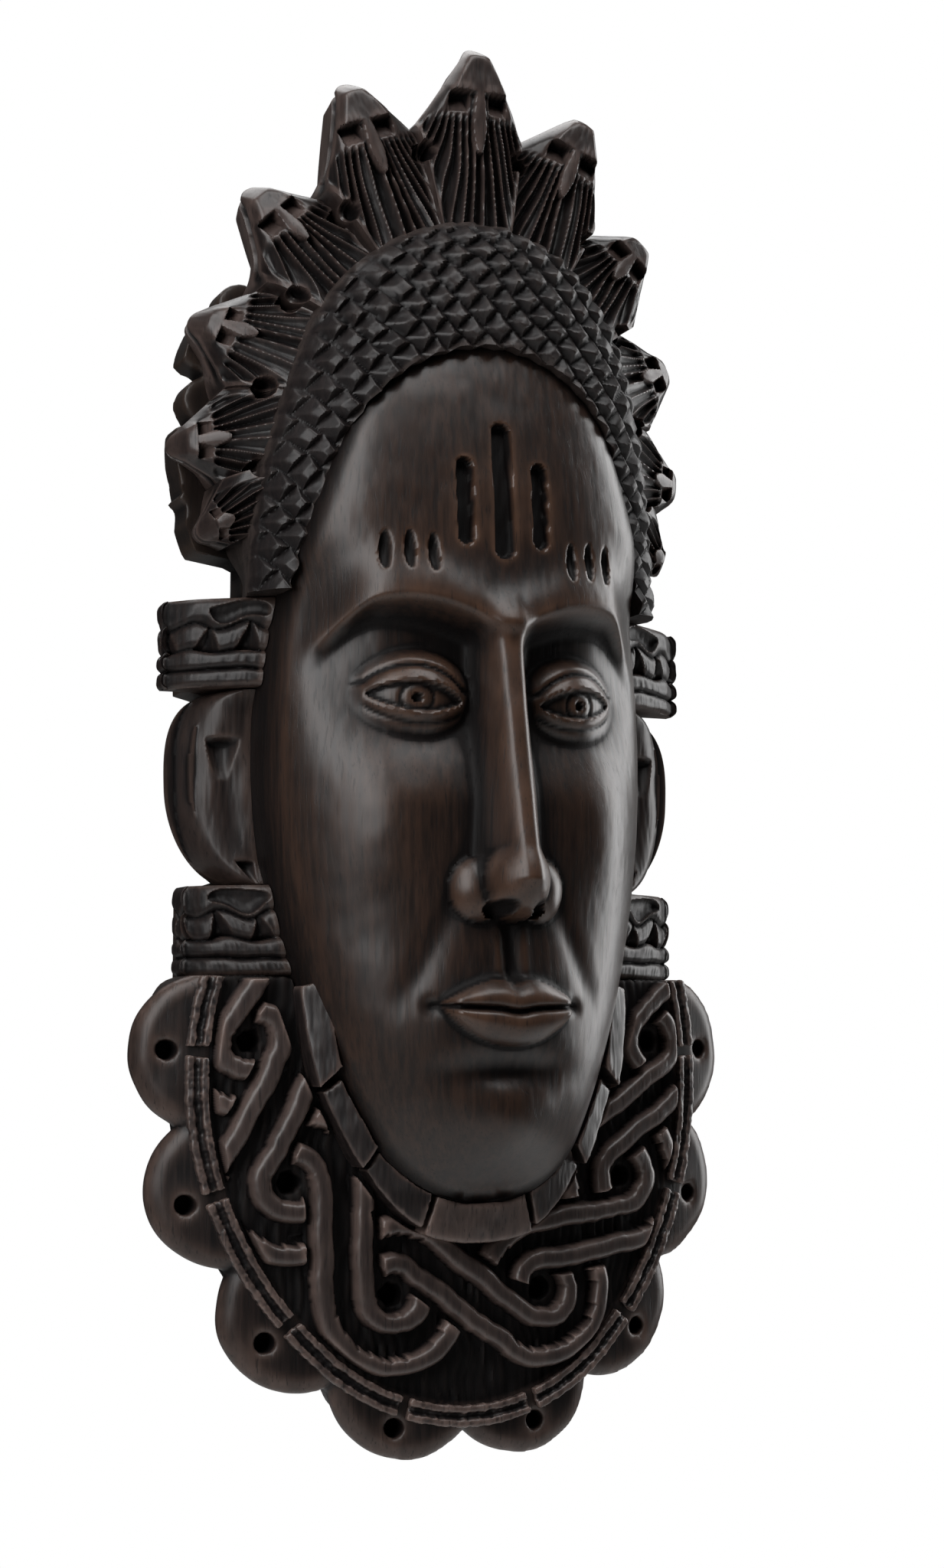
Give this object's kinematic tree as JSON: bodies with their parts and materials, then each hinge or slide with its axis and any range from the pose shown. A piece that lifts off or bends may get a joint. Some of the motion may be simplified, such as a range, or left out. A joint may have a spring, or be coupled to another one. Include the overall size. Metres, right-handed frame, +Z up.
{
  "type": "carved wooden mask",
  "caption": "Dark carved wooden wall mask: calm face, studded cap, crown of fluted rays, banded ear cuffs and a scalloped, interlaced collar, hung by a ring.",
  "frame": {"origin": "point on the wall plane straight behind the spot where the hook carries the hanging ring", "axes": "+Z up, +X to the viewer's right, face towards -Y, wall behind at y = 0"},
  "size_m": [0.203, 0.1033, 0.4463],
  "materials": {
    "board_wood": "dark stained, waxed",
    "face_wood": "dark stained, polished",
    "cap_wood": "dark stained, worn peaks",
    "crown_wood": "dark stained, worn ridges",
    "ear_wood": "dark stained, satin",
    "collar_wood": "dark stained, textured ground",
    "lace_wood": "dark stained, worn rails",
    "dowel_wood": "plain beech",
    "hanger_steel": "zinc plated"
  },
  "bodies": {
    "mask": {"back_board": "board_wood", "face_shell": "face_wood", "hair_cap": "cap_wood", "crown_ray_top": "crown_wood", "crown_ray_left_1": "crown_wood", "crown_ray_left_2": "crown_wood", "crown_ray_left_3": "crown_wood", "crown_ray_left_4": "crown_wood", "crown_ray_left_5": "crown_wood", "crown_ray_right_1": "crown_wood", "crown_ray_right_2": "crown_wood", "crown_ray_right_3": "crown_wood", "crown_ray_right_4": "crown_wood", "crown_ray_right_5": "crown_wood", "ear_left": "ear_wood", "ear_right": "ear_wood", "ear_cuff_lower_left": "ear_wood", "ear_cuff_upper_left": "ear_wood", "ear_cuff_lower_right": "ear_wood", "ear_cuff_upper_right": "ear_wood", "collar_board": "collar_wood", "collar_rim": "lace_wood", "interlace_strand_1": "lace_wood", "interlace_strand_2": "lace_wood", "interlace_strand_3": "lace_wood", "interlace_strand_4": "lace_wood", "interlace_strand_5": "lace_wood", "interlace_strand_6": "lace_wood", "interlace_strand_7": "lace_wood", "jaw_frill_1": "lace_wood", "jaw_frill_2": "lace_wood", "jaw_frill_3": "lace_wood", "jaw_frill_4": "lace_wood", "jaw_frill_5": "lace_wood", "jaw_frill_6": "lace_wood", "jaw_frill_7": "lace_wood", "crown_dowels": "dowel_wood", "face_dowels": "dowel_wood", "collar_dowels": "dowel_wood", "ear_dowels": "dowel_wood", "hanger_strap": "hanger_steel", "hanger_screws": "hanger_steel"},
    "ring": {"hanger_ring": "hanger_steel"}
  },
  "joints": [
    {"name": "ring_swing", "type": "hinge", "parent": "mask", "child": "ring", "pos_m": [0, -0.0052, -0.00875], "axis": [1, 0, 0], "range_deg": [0, 180]}
  ]
}
